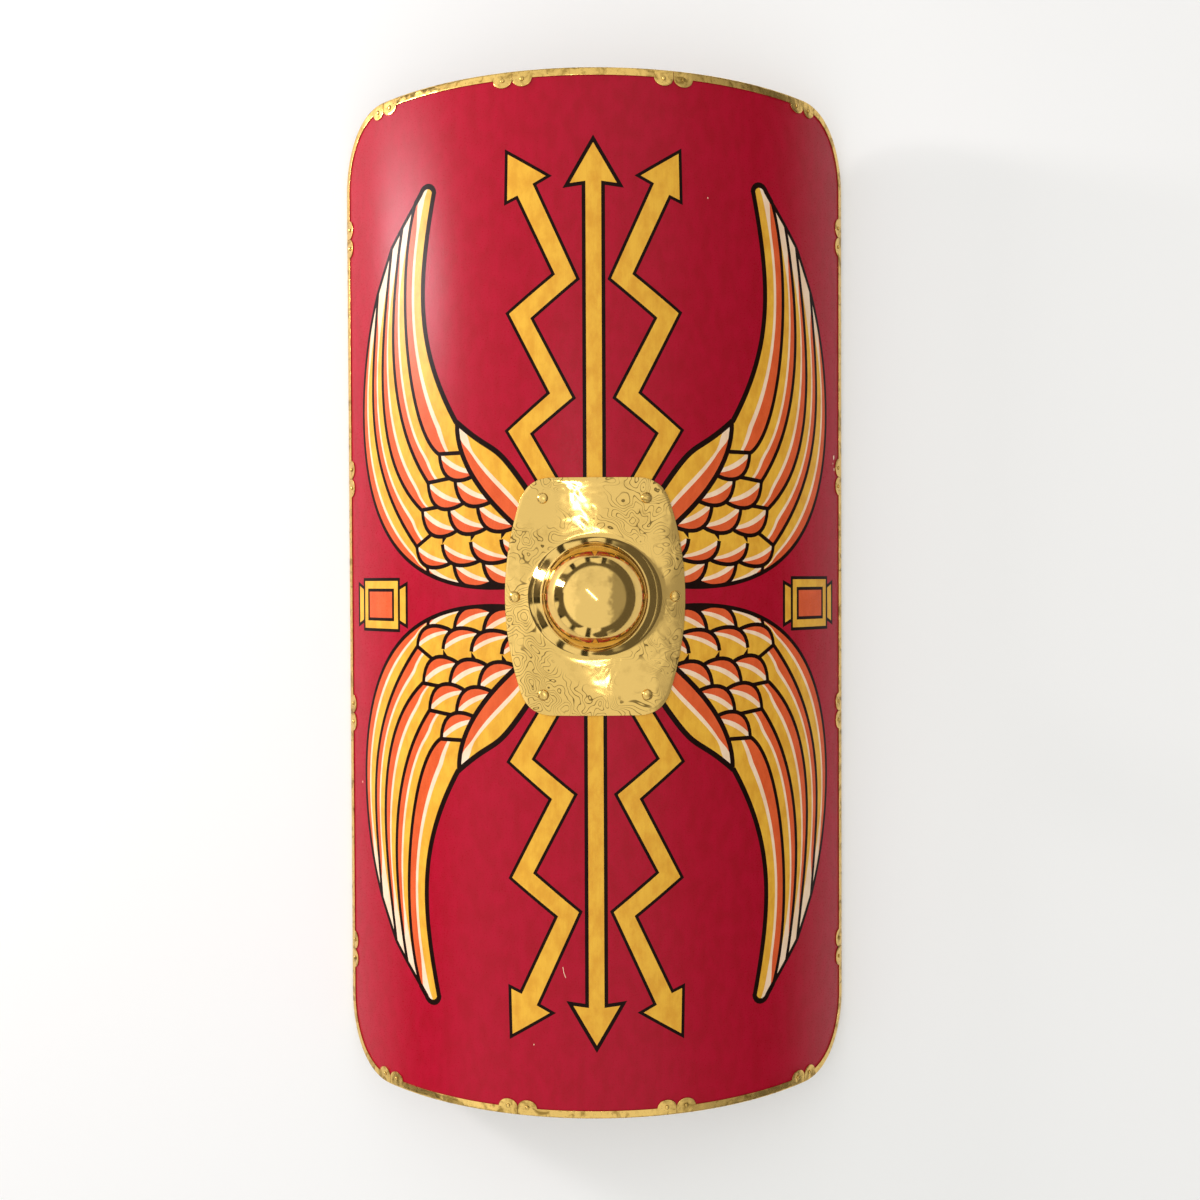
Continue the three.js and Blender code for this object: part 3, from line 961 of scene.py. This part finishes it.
@once
def rim_brass():
    """Sheet brass, cut, folded and hammered over the rim, then handled.
    It keeps a dull sheen, with browner patches and faint dents from the hammer."""
    brass = bpy.context.scene.shield_brass
    material, tree, shader = new_material("folded_sheet_brass", Metallic=1.0)
    place = add_node(tree, "TexCoord", {}, "Object")
    patches = mottle(tree, place, 11 * MM, 11 * MM, 4, 0.8)
    specks = mottle(tree, place, 2.2 * MM, 2.2 * MM, 3)
    dents = mottle(tree, place, 13 * MM, 13 * MM, 1)
    dull = add_node(tree, "MapRange", (patches, 0.46, 0.7, 0.0, 0.85), **EASED)
    toned = add_node(tree, "Mix", {
        0: dull, FIRST: darker(brass.metal), SECOND: darker(brass.tarnish)}, MIXED, **COLOURS)
    spots = add_node(tree, "MapRange", (specks, 0.6, 0.74, 0.0, 0.6), **EASED)
    specked = add_node(tree, "Mix", {
        0: spots, FIRST: toned, SECOND: darker(brass.tarnish, 0.4)}, MIXED, **COLOURS)
    handled = add_node(tree, "MapRange", (patches, 0.35, 0.7, 0.16, 0.4), **EASED)
    dented = add_node(tree, "Bump", {"Strength": 1.0, "Distance": 0.9 * MM, "Height": dents})
    pitted = add_node(tree, "Bump", {
        "Strength": 1.0, "Distance": 0.03 * MM, "Height": specks, "Normal": dented})
    coat(tree, shader, specked, handled, pitted)
    return material


@once
def boss_brass():
    """Sheet brass, raised over a stake and polished to a mirror, with shallow hammer marks that bend
    its reflections.
    Thin dark rings painted on the plate like contours are painted reflection: they stand in for the
    bent reflections of a room, not tarnish."""
    brass = bpy.context.scene.shield_brass
    material, tree, shader = new_material("polished_raised_brass", Metallic=1.0)
    place = add_node(tree, "TexCoord", {}, "Object")
    split = add_node(tree, "SeparateXYZ", {"Vector": place}).node.outputs
    ground = add_node(tree, "CombineXYZ", {"X": split["X"], "Y": split["Y"]})
    away = add_node(tree, "VectorMath", {0: ground}, "Value", operation="LENGTH")
    on_plate = add_node(tree, "MapRange", (away, 62 * MM, 70 * MM, 0.0, 1.0), **EASED)
    marks = mottle(tree, place, 30 * MM, 30 * MM, 2, 0.7)
    # Painted reflection: thin dark contour rings on the plate stand in for the room's bent
    # reflections.
    reflection_levels = mottle(tree, place, 46 * MM, 46 * MM, 2.2, 0.4)
    groups = mottle(tree, place, 42 * MM, 42 * MM, 1)
    steps = add_node(tree, "Math", (reflection_levels, 26.0), operation="MULTIPLY")
    ring = add_node(tree, "Math", (steps, 0.5), operation="PINGPONG")
    thin = add_node(tree, "MapRange", (ring, 0.03, 0.12, 1.0, 0.0), **EASED)
    kept = add_node(tree, "MapRange", (groups, 0.36, 0.56, 0.0, 0.85), **EASED)
    grouped_reflection_lines = add_node(tree, "Math", (thin, kept), operation="MULTIPLY")
    painted_reflection_lines = add_node(tree, "Math", (grouped_reflection_lines, on_plate), operation="MULTIPLY")
    smoke = mottle(tree, place, 18 * MM, 18 * MM, 4)
    smoked = add_node(tree, "MapRange", (smoke, 0.5, 0.8, 0.0, 0.3), **EASED)
    toned = add_node(tree, "Mix", {
        0: smoked, FIRST: darker(brass.metal), SECOND: darker(brass.tarnish)}, MIXED, **COLOURS)
    # Darkens the brass along the painted reflection rings.
    painted_reflection_toned = add_node(tree, "Mix", {
        0: painted_reflection_lines, FIRST: toned, SECOND: darker(brass.tarnish, 0.3)}, MIXED, **COLOURS)
    polish = add_node(tree, "MapRange", (smoke, 0.3, 0.8, 0.06, 0.16), **EASED)
    dent = add_node(tree, "Math", (marks, on_plate), operation="MULTIPLY")
    hammered = add_node(tree, "Bump", {"Strength": 1.0, "Distance": 0.6 * MM, "Height": dent})
    coat(tree, shader, painted_reflection_toned, polish, hammered)
    return material


@once
def grip_wood():
    """Ash, shaved to fit the hand and oiled: long open grain that runs with the bar."""
    base = bpy.context.scene.shield_wood.grip
    material, tree, shader = new_material("oiled_ash")
    place = add_node(tree, "TexCoord", {}, "Object")
    along_bar = add_node(tree, "Mapping", {"Vector": place, "Rotation": (0, 0, pi / 2)})
    bands = mottle(tree, along_bar, 4 * MM, 120 * MM, 4, 0.5)
    pores = mottle(tree, along_bar, 0.7 * MM, 14 * MM, 3)
    late = add_node(tree, "MapRange", (bands, 0.35, 0.65, 0.0, 1.0), **EASED)
    warm = add_node(tree, "Mix", {
        0: late, FIRST: darker(base), SECOND: darker(base, 0.5)}, MIXED, **COLOURS)
    open_pores = add_node(tree, "MapRange", (pores, 0.55, 0.75, 0.0, 0.6), **EASED)
    pored = add_node(tree, "Mix", {
        0: open_pores, FIRST: warm, SECOND: darker(base, 0.25)}, MIXED, **COLOURS)
    oiled = add_node(tree, "MapRange", (pores, 0.3, 0.8, 0.4, 0.62), **EASED)
    sunk = add_node(tree, "Bump", {"Strength": 1.0, "Distance": 0.08 * MM, "Height": pores})
    banded = add_node(tree, "Bump", {
        "Strength": 1.0, "Distance": 0.08 * MM, "Height": bands, "Normal": sunk})
    coat(tree, shader, pored, oiled, banded)
    return material


# ---------------------------------------------------------------- stage

def area_light(name, place, target, size, power, tint=(1, 1, 1)):
    data = bpy.data.lights.new(name, "AREA")
    data.shape = "RECTANGLE"
    data.size, data.size_y = size
    data.energy = power
    data.color = tint
    light = bpy.data.objects.new(name, data)
    light.location = place
    light.rotation_euler = (Vector(target) - Vector(place)).to_track_quat("-Z", "Y").to_euler()
    bpy.context.scene.collection.objects.link(light)


def soft_room():
    """A pale room: an even ceiling, walls with paler and darker panels, and a dim right side."""
    world = bpy.data.worlds.new("soft_room")
    world.use_nodes = True
    tree = world.node_tree
    toward = add_node(tree, "TexCoord", {}, "Generated")
    split = add_node(tree, "SeparateXYZ", {"Vector": toward}).node.outputs
    ripple = add_node(tree, "TexNoise", {"Vector": toward, "Scale": 5.0, "Detail": 1.0})
    wavy = add_node(tree, "MapRange", (ripple, 0.3, 0.7, -0.07, 0.07), **EASED)
    across = add_node(tree, "Math", (wavy, split["X"]), operation="ADD")
    left = add_node(tree, "MapRange", (across, -0.62, -0.5, 0.0, 1.0), **EASED)
    pale = add_node(tree, "Mix", {
        0: left, FIRST: (1.25, 1.25, 1.25, 1), SECOND: (1.0, 1.0, 0.97, 1)}, MIXED, **COLOURS)
    right = add_node(tree, "MapRange", (across, 0.4, 0.56, 0.0, 1.0), **EASED)
    ceiling = add_node(tree, "Mix", {
        0: right, FIRST: pale, SECOND: (0.46, 0.45, 0.43, 1)}, MIXED, **COLOURS)
    turn = add_node(tree, "Math", (split["Y"], split["X"]), operation="ARCTAN2")
    panel = add_node(tree, "Math", (turn, 0.22), operation="PINGPONG")
    lit = add_node(tree, "MapRange", (panel, 0.05, 0.08, 0.0, 1.0), **EASED)
    walls = add_node(tree, "Mix", {
        0: lit, FIRST: (0.05, 0.05, 0.05, 1), SECOND: (1.1, 1.1, 1.1, 1)}, MIXED, **COLOURS)
    shut = add_node(tree, "TexNoise", {"Vector": toward, "Scale": 1.9, "Detail": 0.0})
    curtained = add_node(tree, "MapRange", (shut, 0.47, 0.53, 0.0, 1.0), **EASED)
    mixed = add_node(tree, "Mix", {
        0: curtained, FIRST: walls, SECOND: (0.14, 0.13, 0.12, 1)}, MIXED, **COLOURS)
    dim_side = add_node(tree, "MapRange", (across, 0.1, 0.5, 0.0, 1.0), **EASED)
    dim = add_node(tree, "Mix", {
        0: dim_side, FIRST: mixed, SECOND: (0.16, 0.15, 0.14, 1)}, MIXED, **COLOURS)
    above = add_node(tree, "MapRange", (split["Z"], 0.4, 0.46, 0.0, 1.0), **EASED)
    room = add_node(tree, "Mix", {0: above, FIRST: dim, SECOND: ceiling}, MIXED, **COLOURS)
    tree.links.new(room, tree.nodes["Background"].inputs["Color"])
    return world


# Nearly straight above the boss; its axes point right, up and back.
CAMERA_PLACE = Vector((0.0056, 0.0166, BOARD_TOP + 1.2))
CAMERA_AXES = ((0.99999, -0.0042, -0.00046), (0.00419, 0.99985, -0.01662),
               (0.00053, 0.01662, 0.99986))


class SHIELD_OT_stage(bpy.types.Operator):
    """Set the pale floor, the soft lights and the camera"""
    bl_idname = "shield.stage"
    bl_label = "Stage"

    def execute(self, context):
        scene = context.scene
        low, _ = FRAME_BOX
        bpy.ops.object.select_all(action="DESELECT")
        bpy.ops.mesh.primitive_plane_add(size=8, location=(0, 0, 0))
        floor = name_it("floor")
        place_points(floor, lambda co: co + Vector((0, 0, low[2])))
        material, _, shader = new_material("pale_floor", Roughness=0.9)
        shader.inputs["Base Color"].default_value = (0.97, 0.97, 0.97, 1)
        floor.data.materials.append(material)
        scene.world = soft_room()
        scene.view_settings.view_transform = "Standard"
        area_light("side_window", (-2.2, 0.85, 0.45), (-0.2, 0.33, 0.1), (0.3, 1.1), 40,
                   (1.0, 0.93, 0.96))
        area_light("long_tube", (-0.25, 0.2, 2.6), (-0.1, 0.05, 0.15), (0.07, 1.2), 4)
        data = bpy.data.cameras.new("camera")
        data.lens = 36.07
        data.sensor_width = 36
        camera = bpy.data.objects.new("camera", data)
        turn = Matrix(CAMERA_AXES).transposed().to_4x4()
        camera.matrix_world = Matrix.Translation(CAMERA_PLACE) @ turn
        scene.collection.objects.link(camera)
        scene.camera = camera
        return {"FINISHED"}


class SHIELD_PT_panel(bpy.types.Panel):
    bl_idname = "SHIELD_PT_panel"
    bl_label = "Legionary shield"
    bl_space_type = "VIEW_3D"
    bl_region_type = "UI"
    bl_category = "Shield"

    def draw(self, context):
        for operator in OPERATORS:
            self.layout.operator(operator.bl_idname)
        for name in GROUPS:
            box = self.layout.box()
            group = getattr(context.scene, name)
            for prop in type(group).__annotations__:
                box.prop(group, prop)


GROUPS = {"shield_board": ShieldBoard, "shield_paint": ShieldPaint, "shield_brass": ShieldBrass,
          "shield_boss": ShieldBoss, "shield_wood": ShieldWood}
OPERATORS = (SHIELD_OT_stage, SHIELD_OT_board, SHIELD_OT_edging, SHIELD_OT_tacks,
             SHIELD_OT_boss, SHIELD_OT_rivets, SHIELD_OT_grip)
CLASSES = (*GROUPS.values(), *OPERATORS, SHIELD_PT_panel)


def register():
    for cls in CLASSES:
        bpy.utils.register_class(cls)
    for name, group in GROUPS.items():
        setattr(bpy.types.Scene, name, bpy.props.PointerProperty(type=group))


def unregister():
    for name in GROUPS:
        delattr(bpy.types.Scene, name)
    for cls in reversed(CLASSES):
        bpy.utils.unregister_class(cls)


def main():
    register()
    bpy.ops.shield.stage()
    bpy.ops.shield.board()
    bpy.ops.shield.edging()
    bpy.ops.shield.tacks()
    bpy.ops.shield.boss()
    bpy.ops.shield.rivets()
    bpy.ops.shield.grip()


if __name__ == "__main__":
    main()
